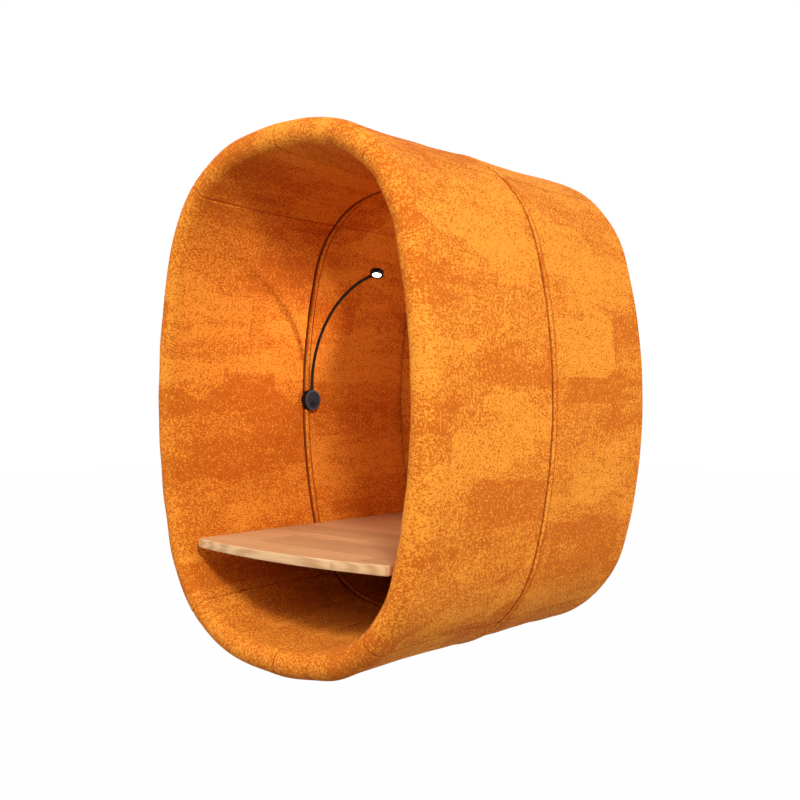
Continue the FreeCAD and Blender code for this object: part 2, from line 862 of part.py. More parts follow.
# Exports
lamp_bores = on_wall(lamp_screw_bores(screw_hole_clearance))
front_bores = cleat_screw_bores(foam_clearance)
hoop_bores = cleat_screw_bores(screw_hole_clearance)
under_lamp = lamp_footprint(foam_clearance, -lamp_seat)
past_lamp = lamp_footprint(foam_clearance, -base_length)
outer_offset = outer_swell + outer_piping_proud - piping_radius
inner_offset = piping_radius - inner_swell - inner_piping_proud
cleat = cleat_solid()
bolt_seats = flange_bolt_spots(seam_depth + flange_ply)
nut_seats = flange_bolt_spots(seam_depth - flange_ply)
cleat_screws = group([cleat_screw_solid(depth) for depth in cleat_screw_depths])
board_screws = group([board_screw_solid(spot) for spot in board_screw_spots(board_bottom - cleat_height)])
panel_screws = [rod(panel_screw_radius, *panel_screw(angle)) for angle in panel_screw_angles]
rail_screws = [countersunk(spot, 0) for height in rail_heights.values() for spot in rail_screw_spots(height)]
lamp_screws = [lamp_screw_solid(spot) for spot in lamp_screw_spots(plate_thickness)]
front_hoop = ring_block(hoop_inner, hoop_outer, hoop_front, seam_depth)
back_hoop = ring_block(hoop_inner, hoop_outer, seam_depth, panel_back)

save(front_cover_ring().cut(front_bores).cut(under_lamp), "front_cover")
save(back_cover_ring(), "back_cover")
save(back_lining_ring().cut(front_bores).cut(under_lamp), "back_lining")
save(back_pad_solid(), "back_pad")
save(round_ring(outer_offset, piping_depth, piping_radius), "outer_piping")
save(round_ring(inner_offset, piping_depth, piping_radius).cut(past_lamp), "inner_piping")
save(front_hoop.cut(hoop_bores), "front_hoop")
save(panel_screw_holes(back_hoop).cut(hoop_bores), "back_hoop")
save(flange(seam_depth - flange_ply, seam_depth), "front_flange")
save(flange(seam_depth, seam_depth + flange_ply).cut(lamp_bores), "back_flange")
save(group([flange_bolt(spot) for spot in bolt_seats]), "flange_bolts")
save(group([flange_nut(spot) for spot in nut_seats]), "flange_nuts")
save(back_panel_solid(), "back_panel")
save(group(panel_screws), "panel_screws")
for place, height in rail_heights.items():
    save(shell_rail(height), place + "_shell_rail")
    save(wall_rail(height), place + "_wall_rail")
save(group(rail_screws), "rail_screws")
save(grommet_solid(), "cable_grommet")
save(board_solid(), "desk_board")
save(cleat, "desk_cleat_right")
save(mirrored(cleat), "desk_cleat_left")
save(both_sides(cleat_screws), "cleat_screws")
save(both_sides(board_screws), "board_screws")
save(on_wall(lamp_plate_solid()), "lamp_plate")
save(on_wall(group(lamp_screws)), "lamp_plate_screws")
save(on_wall(lamp_base_solid()), "lamp_base")
save(on_wall(lamp_face_solid()), "lamp_face")
save(on_wall(switch_body_solid()), "switch_body")
save(on_wall(rocker_solid()), "lamp_rocker")
save(ferrule_solid(), "neck_ferrule")
for number in range(1, neck_links + 1):
    save(neck_link(number), "neck_link_" + str(number))
save(on_neck(lamp_head_solid()), "lamp_head")
save(on_neck(head_disc(lens_radius - lens_fit, head_floor + lens_recess, lens_top)), "lamp_lens")
save(on_neck(head_disc(lens_radius - lens_ledge - led_fit, head_ceiling - led_board_thickness, head_ceiling)),
     "led_board")
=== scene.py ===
import bpy
import bmesh
import math
import numpy as np
from mathutils import Matrix, Vector


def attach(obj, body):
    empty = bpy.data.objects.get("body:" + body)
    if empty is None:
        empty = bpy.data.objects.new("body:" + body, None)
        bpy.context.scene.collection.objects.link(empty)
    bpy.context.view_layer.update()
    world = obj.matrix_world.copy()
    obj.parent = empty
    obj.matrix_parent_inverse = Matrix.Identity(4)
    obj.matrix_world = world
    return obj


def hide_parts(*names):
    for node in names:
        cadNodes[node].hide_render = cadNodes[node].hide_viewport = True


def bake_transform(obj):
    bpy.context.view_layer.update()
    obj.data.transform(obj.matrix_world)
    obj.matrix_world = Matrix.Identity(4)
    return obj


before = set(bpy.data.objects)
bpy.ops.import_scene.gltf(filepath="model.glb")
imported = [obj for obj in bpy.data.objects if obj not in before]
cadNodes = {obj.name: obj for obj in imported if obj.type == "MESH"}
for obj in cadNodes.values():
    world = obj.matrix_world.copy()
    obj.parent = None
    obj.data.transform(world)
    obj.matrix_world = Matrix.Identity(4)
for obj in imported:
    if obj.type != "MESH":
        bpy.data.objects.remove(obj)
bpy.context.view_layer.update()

# sizes of the shell, in metres, as in the part; offsets are measured outwards from the outline
shell = {
    "halfWidth": 0.408, "halfHeight": 0.571, "depth": 0.855,
    "sideRadius": 1.31196, "topRadius": 0.749892, "cornerRadius": 0.29716,
    "lipRadius": 0.029, "outerSwell": 0.026, "innerSwell": 0.044,
    "frontEnd": 0.4270, "backStart": 0.4456, "coverBack": 0.852,
    "panelFront": 0.8312, "panelBack": 0.8462, "panelGap": 0.0003, "hoopIn": -0.0063, "hoopOut": 0.0093,
    "flangeSlot": -0.0313, "flangeFront": 0.4020, "flangeBack": 0.458, "hoopFront": 0.0347,
    "pipingDepth": 0.4378, "pipingRadius": 0.0075,
    "around": 448,              # points round the outline
}


# the outline: tangent arcs from the bottom middle; points keep their arc's centre, so that offsets stay true
def outlineArcs():
    s = shell
    sideX, topZ = s["halfWidth"] - s["sideRadius"], s["halfHeight"] - s["topRadius"]
    reachSide, reachTop = s["sideRadius"] - s["cornerRadius"], s["topRadius"] - s["cornerRadius"]
    span = math.hypot(sideX, topZ)
    along = (reachSide ** 2 - reachTop ** 2 + span ** 2) / (2 * span)
    aside = math.sqrt(reachSide ** 2 - along ** 2)
    ux, uz = -sideX / span, topZ / span
    cx, cz = sideX + ux * along - uz * aside, uz * along + ux * aside
    sideEnd = math.atan2(cz, cx - sideX)
    cornerEnd = math.atan2(cz - topZ, cx)
    pi = math.pi
    return [
        (0, -topZ, s["topRadius"], -pi / 2, -cornerEnd),
        (cx, -cz, s["cornerRadius"], -cornerEnd, -sideEnd),
        (sideX, 0, s["sideRadius"], -sideEnd, sideEnd),
        (cx, cz, s["cornerRadius"], sideEnd, cornerEnd),
        (0, topZ, s["topRadius"], cornerEnd, pi - cornerEnd),
        (-cx, cz, s["cornerRadius"], pi - cornerEnd, pi - sideEnd),
        (-sideX, 0, s["sideRadius"], pi - sideEnd, pi + sideEnd),
        (-cx, -cz, s["cornerRadius"], pi + sideEnd, pi + cornerEnd),
        (0, -topZ, s["topRadius"], pi + cornerEnd, 3 * pi / 2),
    ]


arcs = outlineArcs()
arcLengths = [radius * (last - first) for _, _, radius, first, last in arcs]
perimeter = sum(arcLengths)
# the cover's panel seams: bottom middle, middle of each corner, top middle
panelSeams = [sum(arcLengths[:k]) + arcLengths[k] * share
              for k, share in ((0, 0.0), (1, 0.5), (3, 0.5), (4, 0.5), (5, 0.5), (7, 0.5))]


# shader maths: a socket that takes part in expressions
class Wire:
    def __init__(self, bench, socket):
        self.bench, self.socket = bench, socket

    def __add__(self, other):
        return self.bench.math("ADD", self, other)

    def __radd__(self, other):
        return self.bench.math("ADD", other, self)

    def __sub__(self, other):
        return self.bench.math("SUBTRACT", self, other)

    def __rsub__(self, other):
        return self.bench.math("SUBTRACT", other, self)

    def __mul__(self, other):
        return self.bench.math("MULTIPLY", self, other)

    def __rmul__(self, other):
        return self.bench.math("MULTIPLY", other, self)

    def __truediv__(self, other):
        return self.bench.math("DIVIDE", self, other)


class ShaderBench:
    def __init__(self, name, forSky=False):
        self.owner = bpy.data.worlds.new(name) if forSky else bpy.data.materials.new(name)
        self.owner.use_nodes = True
        self.tree = self.owner.node_tree
        self.tree.nodes.clear()
        self.out = self.tree.nodes.new("ShaderNodeOutputWorld" if forSky else "ShaderNodeOutputMaterial")

    def link(self, value, socket):
        if isinstance(value, Wire):
            self.tree.links.new(value.socket, socket)
        elif socket.type == "RGBA":
            socket.default_value = (*value, 1)
        else:
            socket.default_value = value

    def node(self, kind, settings=None, sockets=None, out=0):
        made = self.tree.nodes.new("ShaderNode" + kind)
        for key, value in (settings or {}).items():
            setattr(made, key, value)
        for key, value in (sockets or {}).items():
            self.link(value, made.inputs[key])
        return Wire(self, made.outputs[out])

    def math(self, operation, one, two=0.5):
        return self.node("Math", {"operation": operation}, {0: one, 1: two})

    def step(self, value, low, high):
        return self.node("MapRange", {"interpolation_type": "SMOOTHSTEP"},
                         {"Value": value, "From Min": low, "From Max": high})

    def vector(self, x=0.0, y=0.0, z=0.0):
        return self.node("CombineXYZ", None, {"X": x, "Y": y, "Z": z})

    def split(self, vector):
        made = self.node("SeparateXYZ", None, {"Vector": vector}).socket.node
        return [Wire(self, made.outputs[k]) for k in range(3)]

    def place(self):
        return self.node("TexCoord", out="Object")

    def noise(self, vector, scale, detail=2.0, rough=0.5):
        return self.node("TexNoise", None,
                         {"Vector": vector, "Scale": scale, "Detail": detail, "Roughness": rough})

    def mix(self, factor, one, two):
        # sockets 6 and 7 are the node's two colours, and output 2 is the mixed colour
        return self.node("Mix", {"data_type": "RGBA"}, {0: factor, 6: one, 7: two}, out=2)

    def bump(self, height, strength, distance):
        return self.node("Bump", None, {"Height": height, "Strength": strength, "Distance": distance})

    def seen(self):
        # 1 for the camera, mirrors and glass, 0 for the light that bounces
        eye, mirror, glass = [self.node("LightPath", out="Is %s Ray" % kind)
                              for kind in ("Camera", "Glossy", "Transmission")]
        return self.math("MAXIMUM", self.math("MAXIMUM", eye, mirror), glass)

    def show(self, shader):
        self.tree.links.new(shader.socket, self.out.inputs[0])
        return self.owner

    def finish(self, **sockets):
        named = {key.replace("_", " "): value for key, value in sockets.items()}
        return self.show(self.node("BsdfPrincipled", None, named))


def srgb(red, green, blue):
    def linear(c):
        c = c / 255
        return c / 12.92 if c <= 0.04045 else ((c + 0.055) / 1.055) ** 2.4
    return (linear(red), linear(green), linear(blue))


wool = {
    "deep": srgb(200, 103, 20), "deepShade": srgb(188, 89, 15),
    "bright": srgb(237, 151, 49), "brightWarm": srgb(231, 139, 40),
    "paintedSeamShade": srgb(132, 48, 12),            # painted shade where the fabric turns into a seam
    "cell": 0.0021, "fray": 0.0026,         # one step of the woven pattern, and how ragged its edge is
    # repeats per metre, across and along the bands
    "frayPitch": (1100.0, 1100.0), "bands": (7.5, 1.7), "clouds": (26.0, 10.0), "blocks": (7.5, 4.5),
    "streaks": (72.0, 27.0), "specks": (240.0, 140.0), "fine": (420.0, 300.0), "tone": (60.0, 30.0),
    # what each pattern counts for where the bright yarn comes up
    "cloudWeight": 0.32, "blockWeight": 0.28, "tierWeight": 0.09, "fieldWeight": 0.35,
    "speckWeight": 1.6, "streakWeight": 0.5, "gritWeight": 0.36, "deepBias": 0.03,
    "deepTier": (-0.105, -0.070), "brightTier": (0.060, 0.095), "yarnEdge": (-0.09, 0.08),
    "panelLine": (0.0019, 0.0007), "panelShade": 0.6,     # half width where the painted shade line at a panel seam starts and is full
    "ribPitch": 0.0044, "ribWander": 2.0,
    "ribHeight": 0.35, "speckHeight": 0.9, "fineHeight": 0.8, "yarnHeight": 0.25, "relief": (0.3, 0.0006),
    "rough": 0.93, "brightSmooth": 0.08, "sheen": srgb(240, 150, 60), "sheenWeight": 0.05,
}


def mottledWool(name, seed, lift=0.0, seamShading=(), panels=True):
    # two yarns in cloudy bands: stepped speckles of the bright one over the deep one, along the UV map's V;
    # seamShading: (depth where the painted shade starts, depth where it is full, weight) towards a seam
    w = wool
    b = ShaderBench(name)
    u, v, _ = b.split(b.node("UVMap", {"uv_map": "weave"}))

    def pattern(across, along, pitch, shift, detail, rough=0.5):
        return b.noise(b.vector(across * pitch[0], along * pitch[1], seed + shift), 1.0, detail, rough)

    fray = (pattern(u, v, w["frayPitch"], 0.0, 1.0) - 0.5) * w["fray"]
    column = b.math("FLOOR", (u + fray) / w["cell"])
    row = b.math("FLOOR", (v + fray) / w["cell"])
    su, sv = column * w["cell"], row * w["cell"]
    bands = pattern(su, sv, w["bands"], 0.0, 3.0, 0.55)
    clouds = pattern(su, sv, w["clouds"], 3.0, 3.0, 0.6)
    streaks = pattern(su, sv, w["streaks"], 11.0, 3.0, 0.6)
    specks = pattern(su, sv, w["specks"], 0.0, 2.0, 0.6)
    fine = pattern(u, v, w["fine"], 0.0, 1.0)
    tone = pattern(u, v, w["tone"], 7.0, 2.0)
    patch = b.vector(su * w["blocks"][0], sv * w["blocks"][1], seed)
    blocks = b.node("TexVoronoi", {"distance": "CHEBYCHEV"},
                    {"Vector": patch, "Scale": 1.0, "Randomness": 0.9}, out="Color")
    blockTone = b.split(blocks)[0]
    grit = b.node("TexWhiteNoise", {"noise_dimensions": "2D"}, {"Vector": b.vector(column, row, 0.0)})
    field = (bands - 0.5) + (clouds - 0.5) * w["cloudWeight"] + (blockTone - 0.5) * w["blockWeight"]
    tiers = b.step(field, *w["deepTier"]) + b.step(field, *w["brightTier"]) - 1    # deep, mixed, bright
    share = tiers * w["tierWeight"] + field * w["fieldWeight"] + lift - w["deepBias"]
    yarn = (specks - 0.5) * w["speckWeight"] + (streaks - 0.5) * w["streakWeight"] + share
    bright = b.step(yarn + (grit - 0.5) * w["gritWeight"], *w["yarnEdge"])
    deepYarn = b.mix(tone, w["deepShade"], w["deep"])
    brightYarn = b.mix(tone, w["brightWarm"], w["bright"])
    colour = b.mix(bright, deepYarn, brightYarn)
    depth = b.split(b.place())[1] + shell["depth"]
    # painted shade where the fabric turns into the seam
    for first, full, weight in seamShading:
        colour = b.mix(b.step(depth, first, full) * weight, colour, w["paintedSeamShade"])
    # painted shade lines in the creases at the panel seams
    for seam in (panelSeams + [perimeter] if panels else []):
        away = b.math("ABSOLUTE", u - seam)
        colour = b.mix(b.step(away, *w["panelLine"]) * w["panelShade"], colour, w["paintedSeamShade"])
    ribs = b.math("SINE", u * (2 * math.pi / w["ribPitch"]) + fine * w["ribWander"])
    height = ribs * w["ribHeight"] + specks * w["speckHeight"] + fine * w["fineHeight"]
    height = height + bright * w["yarnHeight"]
    return b.finish(Base_Color=colour, Roughness=w["rough"] - bright * w["brightSmooth"],
                    Normal=b.bump(height, *w["relief"]), Sheen_Weight=w["sheenWeight"], Sheen_Roughness=0.5,
                    Sheen_Tint=w["sheen"], Specular_IOR_Level=0.15)


oak = {
    "light": srgb(226, 182, 130), "dark": srgb(190, 140, 90), "line": srgb(146, 98, 58),
    "stave": 0.058, "staveLength": 0.62, "glueLine": 0.0007, "glueShade": 0.45,
    "grain": (4.0, 110.0, 160.0), "rings": (2.4, 34.0, 46.0), "pores": (24.0, 640.0, 640.0),
    "toneSpread": 0.55, "toneBase": 0.18, "poreShade": 0.28, "rough": 0.46, "relief": (0.25, 0.0004),
}


def oiledOak():
    # staves run along X, glued edge to edge along Y; each has its own tone and grain
    b = ShaderBench("oiledOak")
    x, y, z = b.split(b.place())
    row = b.math("FLOOR", y / oak["stave"])
    rowTone = b.node("TexWhiteNoise", {"noise_dimensions": "1D"}, {"W": row * 1.37 + 4.0})
    length = b.math("FLOOR", (x + rowTone * 1.3) / oak["staveLength"])
    tone = b.node("TexWhiteNoise", {"noise_dimensions": "2D"}, {"Vector": b.vector(row, length, 0.0)})
    shift = tone * 9.0

    def along(pitch):
        return b.vector(x * pitch[0] + shift, y * pitch[1] + shift, z * pitch[2])

    grain = b.noise(along(oak["grain"]), 1.0, 4.0, 0.62)
    rings = b.node("TexWave", {"wave_type": "BANDS", "bands_direction": "Y"},
                   {"Vector": along(oak["rings"]), "Scale": 1.1, "Distortion": 5.0, "Detail": 2.0,
                    "Detail Scale": 0.8}, out=1)
    pitch = oak["pores"]
    pores = b.noise(b.vector(x * pitch[0], y * pitch[1], z * pitch[2]), 1.0, 1.0, 0.5)
    depth = b.step(grain * 0.75 + rings * 0.35, 0.28, 0.86)
    colour = b.mix(depth, oak["light"], oak["dark"])
    colour = b.mix((tone - 0.5) * oak["toneSpread"] + oak["toneBase"], colour, oak["line"])
    colour = b.mix(b.step(pores, 0.62, 0.74) * oak["poreShade"], colour, oak["line"])
    joint = 1 - b.step(b.math("PINGPONG", y, oak["stave"] / 2), 0.0, oak["glueLine"])
    colour = b.mix(joint * oak["glueShade"], colour, oak["line"])
    height = pores * -0.4 - joint * 0.8 + grain * 0.3
    return b.finish(Base_Color=colour, Roughness=oak["rough"] + depth * 0.12,
                    Normal=b.bump(height, *oak["relief"]))


def blackFinish(name, tone, rough, grainScale, strength, coat=0.0, shine=0.5):
    b = ShaderBench(name)
    grain = b.noise(b.place(), grainScale)
    wear = b.noise(b.place(), 60.0)
    colour = b.mix(wear, tuple(c * 0.8 for c in tone), tuple(c * 1.25 for c in tone))
    return b.finish(Base_Color=colour, Roughness=rough - 0.06 + wear * 0.12,
                    Normal=b.bump(grain, strength, 0.0002), Coat_Weight=coat, Coat_Roughness=0.15,
                    Specular_IOR_Level=shine)


birch = {
    "light": srgb(224, 192, 148), "dark": srgb(190, 152, 106), "glue": srgb(150, 108, 70),
    "grain": (40.0, 6.0, 40.0), "ply": 0.0015, "glueLine": (0.0006, 0.0009), "glueShade": 0.12,
    "rough": (0.62, 0.15),
}
pine = {
    "light": srgb(214, 178, 130), "dark": srgb(176, 132, 86),
    "grain": (55.0, 2.5, 55.0), "rough": (0.6, 0.12),
}


def sawnWood(name, wood):
    b = ShaderBench(name)
    x, y, z = b.split(b.place())
    pitch = wood["grain"]
    grain = b.noise(b.vector(x * pitch[0], y * pitch[1], z * pitch[2]), 1.0, 4.0, 0.6)
    colour = b.mix(grain, wood["light"], wood["dark"])
    if "ply" in wood:
        band = b.step(b.math("PINGPONG", y, wood["ply"]), *wood["glueLine"])
        colour = b.mix(band * wood["glueShade"], colour, wood["glue"])
    rough, spread = wood["rough"]
    return b.finish(Base_Color=colour, Roughness=rough + grain * spread, Normal=b.bump(grain, 0.2, 0.0004))


def metalFinish(name, tone, rough, stretch):
    b = ShaderBench(name)
    x, y, z = b.split(b.place())
    brushed = b.noise(b.vector(x * stretch[0], y * stretch[1], z * stretch[2]), 1.0, 3.0, 0.6)
    colour = b.mix(brushed, tuple(c * 0.82 for c in tone), tone)
    return b.finish(Base_Color=colour, Metallic=1.0, Roughness=rough - 0.06 + brushed * 0.14,
                    Normal=b.bump(brushed, 0.08, 0.0002))


def opalGlow():
    b = ShaderBench("opalGlow")
    haze = b.noise(b.place(), 220.0)
    glow = b.mix(haze, (1.0, 0.93, 0.82), (1.0, 0.98, 0.92))
    return b.finish(Base_Color=(0.9, 0.89, 0.86), Roughness=0.35, Emission_Color=glow, Emission_Strength=3.0)


def boardCells():
    # a pale board with a close field of small yellow light cells
    b = ShaderBench("ledBoard")
    cells = b.node("TexVoronoi", None, {"Vector": b.place(), "Scale": 260.0})
    colour = b.mix(b.step(cells, 0.25, 0.3), srgb(232, 205, 90), srgb(228, 230, 226))
    return b.finish(Base_Color=colour, Roughness=0.5)


# depths of the painted seam shade: where it starts, as the fabric starts to turn into the seam, and where it
# is full, as it has turned
frontSeamShade = (shell["frontEnd"] - 0.0024, shell["frontEnd"] - 0.0010)
backSeamShade = (shell["backStart"] + 0.0042, shell["backStart"] + 0.0018)
cordFrontShade = (shell["pipingDepth"] - 0.0050, shell["pipingDepth"] - 0.0068)
cordBackShade = (shell["pipingDepth"] + 0.0042, shell["pipingDepth"] + 0.0064)
# painted shade at the seams of the covers, and on the front and back flanks of the piping cords
woolFront = mottledWool("mottledWoolFront", 0.0, seamShading=[(*frontSeamShade, 0.75)])
woolBack = mottledWool("mottledWoolBack", 21.0, seamShading=[(*backSeamShade, 0.45)])
woolLining = mottledWool("mottledWoolLining", 43.0, seamShading=[(*backSeamShade, 0.8)])
woolPad = mottledWool("mottledWoolPad", 65.0, panels=False)
woolOuterPiping = mottledWool("mottledWoolOuterPiping", 87.0, 0.0,
                              [(*cordFrontShade, 0.75), (*cordBackShade, 0.45)], panels=False)
woolInnerPiping = mottledWool("mottledWoolInnerPiping", 91.0, -0.04,
                              [(*cordFrontShade, 0.8), (*cordBackShade, 0.85)], panels=False)
oakFinish = oiledOak()
satinBlack = blackFinish("satinBlack", (0.004, 0.004, 0.0046), 0.38, 900.0, 0.05, shine=0.28)
faceBlack = blackFinish("faceBlack", (0.021, 0.030, 0.040), 0.5, 1400.0, 0.12, shine=0.2)
# a lighter grey for the flat ring round the lamp's face: painted highlight on the rim
paintedRimHighlight = blackFinish("paintedRimHighlight", (0.052, 0.070, 0.090), 0.42, 1200.0, 0.08, shine=0.3)
rockerBlack = blackFinish("rockerBlack", (0.010, 0.010, 0.011), 0.25, 900.0, 0.03, coat=0.3)
rubberBlack = blackFinish("rubberBlack", (0.022, 0.022, 0.022), 0.75, 700.0, 0.2)
birchPly = sawnWood("birchPlywood", birch)
timber = sawnWood("planedTimber", pine)
zincSteel = metalFinish("zincSteel", (0.62, 0.63, 0.65), 0.34, (300, 300, 300))
railAlloy = metalFinish("railAlloy", (0.72, 0.73, 0.74), 0.38, (4, 500, 500))
lensGlow = opalGlow()
ledBoard = boardCells()
print("materials made")


def outlineAt(distances):
    # centre x, centre z, radius and angle at distances round the outline from the bottom middle
    rows = []
    for distance in distances:
        left = distance % perimeter
        for (cx, cz, radius, first, last), length in zip(arcs, arcLengths):
            if left <= length:
                rows.append((cx, cz, radius, first + left / radius))
                break
            left -= length
        else:
            rows.append((arcs[-1][0], arcs[-1][1], arcs[-1][2], arcs[-1][4]))
    return np.array(rows)


def outlinePoints(distances, offset):
    rows = outlineAt(distances)
    reach, angle = rows[:, 2] + offset, rows[:, 3]
    return np.stack([rows[:, 0] + reach * np.cos(angle), rows[:, 1] + reach * np.sin(angle)], axis=1)


def seamDistance(spots, seam):
    return np.abs((spots - seam + perimeter / 2) % perimeter - perimeter / 2)


def walk(start, moves):
    # section points (offset, depth) at a step along lines and arcs; each move: (points, step, shown)
    spots, shown = [start], [moves[0][2]]
    here = np.array(start, float)
    for points, step, seen in moves:
        end = np.array(points[-1], float)
        if len(points) == 1:
            count = max(1, int(round(np.linalg.norm(end - here) / step)))
            for k in range(1, count + 1):
                spots.append(tuple(here + (end - here) * k / count))
                shown.append(seen)
        else:
            a, b, c = here, np.array(points[0], float), end
            d = 2 * (a[0] * (b[1] - c[1]) + b[0] * (c[1] - a[1]) + c[0] * (a[1] - b[1]))
            ox = ((a @ a) * (b[1] - c[1]) + (b @ b) * (c[1] - a[1]) + (c @ c) * (a[1] - b[1])) / d
            oy = ((a @ a) * (c[0] - b[0]) + (b @ b) * (a[0] - c[0]) + (c @ c) * (b[0] - a[0])) / d
            o = np.array([ox, oy])
            r = np.linalg.norm(a - o)
            first, middle, last = [math.atan2(*(p - o)[::-1]) for p in (a, b, c)]
            sweep = (last - first) % (2 * math.pi)
            if (middle - first) % (2 * math.pi) > sweep:
                sweep -= 2 * math.pi
            count = max(2, int(round(abs(sweep) * r / step)))
            for k in range(1, count + 1):
                t = first + sweep * k / count
                spots.append((o[0] + r * math.cos(t), o[1] + r * math.sin(t)))
                shown.append(seen)
        here = end
    return np.array(spots[:-1]), np.array(shown[:-1], float)


# unevenness of stuffed fabric; heights and widths in metres
softness = {
    "swells": 9, "swell": 0.000605, "swellTurns": (9, 30), "swellLength": (0.10, 0.30),
    "puckers": 4, "pucker": 0.0007, "puckerTurns": (70, 160), "puckerFade": 0.020,
    "creaseIn": 0.0024, "creaseOut": 0.0016, "creaseWidth": 0.0034, "rollShare": 0.45, "rollWidth": 0.020,
    # places of the mesh's points at a panel seam, and the span that they fill
    "nearSeam": (-0.0105, -0.0075, -0.005, -0.0032, -0.0016, 0.0, 0.0016, 0.0032, 0.005, 0.0075, 0.0105),
    "seamSpan": 0.013,
}


def padRelief(name, s, t, offsets, seamGap):
    # slow swells, puckers near the seam, creases at panel seams with a soft roll beside them
    f = softness
    rng = np.random.default_rng(sum(map(ord, name)))
    total = np.zeros_like(s)
    for _ in range(f["swells"]):
        turns = rng.integers(*f["swellTurns"])
        wave = rng.uniform(*f["swellLength"]) * rng.choice([-1, 1])
        total += np.sin(2 * np.pi * (turns * s / perimeter + t / wave) + rng.uniform(0, 6.28))
    total *= f["swell"] / math.sqrt(f["swells"])
    puckers = np.zeros_like(s)
    for _ in range(f["puckers"]):
        turns = rng.integers(*f["puckerTurns"])
        puckers += np.sin(2 * np.pi * turns * s / perimeter + rng.uniform(0, 6.28))
    total += puckers * f["pucker"] / math.sqrt(f["puckers"]) * np.exp(-seamGap / f["puckerFade"])
    depth = np.where(offsets < 0, f["creaseIn"], f["creaseOut"])
    for seam in panelSeams:
        away = seamDistance(s, seam)
        total -= depth * np.exp(-(away / f["creaseWidth"]) ** 2)
        total += depth * f["rollShare"] * np.exp(-(away / f["rollWidth"]) ** 2)
    return total


def addObject(name, data):
    obj = bpy.data.objects.new(name, data)
    bpy.context.scene.collection.objects.link(obj)
    return obj


def newObject(name, verts, faces, material, uv=None, weld=None):
    # a smooth mesh with its faces turned outwards, after its doubles are merged
    mesh = bpy.data.meshes.new(name)
    mesh.from_pydata([tuple(v) for v in verts], [], faces)
    if uv is not None:
        layer = mesh.uv_layers.new(name="weave")
        layer.data.foreach_set("uv", np.asarray(uv, np.float32).ravel())
    mesh.materials.append(material)
    bm = bmesh.new()
    bm.from_mesh(mesh)
    if weld:
        bmesh.ops.remove_doubles(bm, verts=bm.verts, dist=weld)
    bmesh.ops.recalc_face_normals(bm, faces=bm.faces)
    bm.to_mesh(mesh)
    bm.free()
    mesh.polygons.foreach_set("use_smooth", [True] * len(mesh.polygons))
    return addObject(name, mesh)


def ringSteps():
    # even steps round the outline, closer together at the panel seams
    steps = np.arange(shell["around"]) * perimeter / shell["around"]
    near = np.array(softness["nearSeam"])
    for seam in panelSeams:
        kept = steps[seamDistance(steps, seam) > softness["seamSpan"]]
        steps = np.append(kept, (seam + near) % perimeter)
    return np.sort(steps)


def paddedRing(name, section, shown, material, seamDepth):
    # a closed section carried round the outline, with the relief of stuffed fabric where it shows
    around = ringSteps()
    n, m = len(around), len(section)
    rows = outlineAt(around)
    ahead, behind = np.roll(section, -1, 0), np.roll(section, 1, 0)
    tangent = ahead - behind
    tangent /= np.linalg.norm(tangent, axis=1)[:, None]
    normal = np.stack([-tangent[:, 1], tangent[:, 0]], axis=1)
    area = 0.5 * np.sum(section[:, 0] * ahead[:, 1] - ahead[:, 0] * section[:, 1])
    if area > 0:
        normal = -normal
    steps = np.linalg.norm(section - behind, axis=1)
    t = np.cumsum(steps) - steps[0]
    s2, t2 = np.meshgrid(around, t, indexing="ij")
    o2 = np.broadcast_to(section[:, 0], s2.shape)
    gap = np.abs(np.broadcast_to(section[:, 1], s2.shape) - seamDepth)
    relief = padRelief(name, s2, t2, o2, gap) * shown[None, :]
    offset = section[None, :, 0] + relief * normal[None, :, 0]
    depth = section[None, :, 1] + relief * normal[None, :, 1]
    reach, angle = rows[:, 2][:, None] + offset, rows[:, 3][:, None]
    x = rows[:, 0][:, None] + reach * np.cos(angle)
    z = rows[:, 1][:, None] + reach * np.sin(angle)
    verts = np.stack([x, depth - shell["depth"], z], axis=2).reshape(-1, 3)
    closing = np.append(t, t[-1] + steps[0])
    faces, uv = [], []
    for i in range(n):
        j = (i + 1) % n
        s0, s1 = around[i], around[j] if j else around[0] + perimeter
        for k in range(m):
            l = (k + 1) % m
            faces.append((i * m + k, j * m + k, j * m + l, i * m + l))
            uv += [(s0, closing[k]), (s1, closing[k]), (s1, closing[k + 1]), (s0, closing[k + 1])]
    return newObject(name, verts, faces, material, uv)


def sag(one, two, depth):
    return ((one[0] + two[0]) / 2 + depth, (one[1] + two[1]) / 2)


def corner(cx, cy, radius, degrees):
    return (cx + radius * math.cos(math.radians(degrees)), cy + radius * math.sin(math.radians(degrees)))


# mesh steps along the sections, and how far the faces sag between their ends
covers = {
    "seamStep": 0.0016, "faceStep": 0.0062, "liningStep": 0.0065, "lipStep": 0.0036, "edgeStep": 0.0045,
    "hemStep": 0.004, "cutStep": 0.003, "hiddenStep": 0.5, "seamShown": 0.6,
    "frontRound": 0.0045, "backRound": 0.004, "edge": 0.032, "hem": -0.014,
    "outerSag": -0.004, "innerSag": -0.005, "backSag": -0.0025, "liningSag": -0.002,
}


def hidden(*points):
    return [([point], covers["hiddenStep"], 0) for point in points]


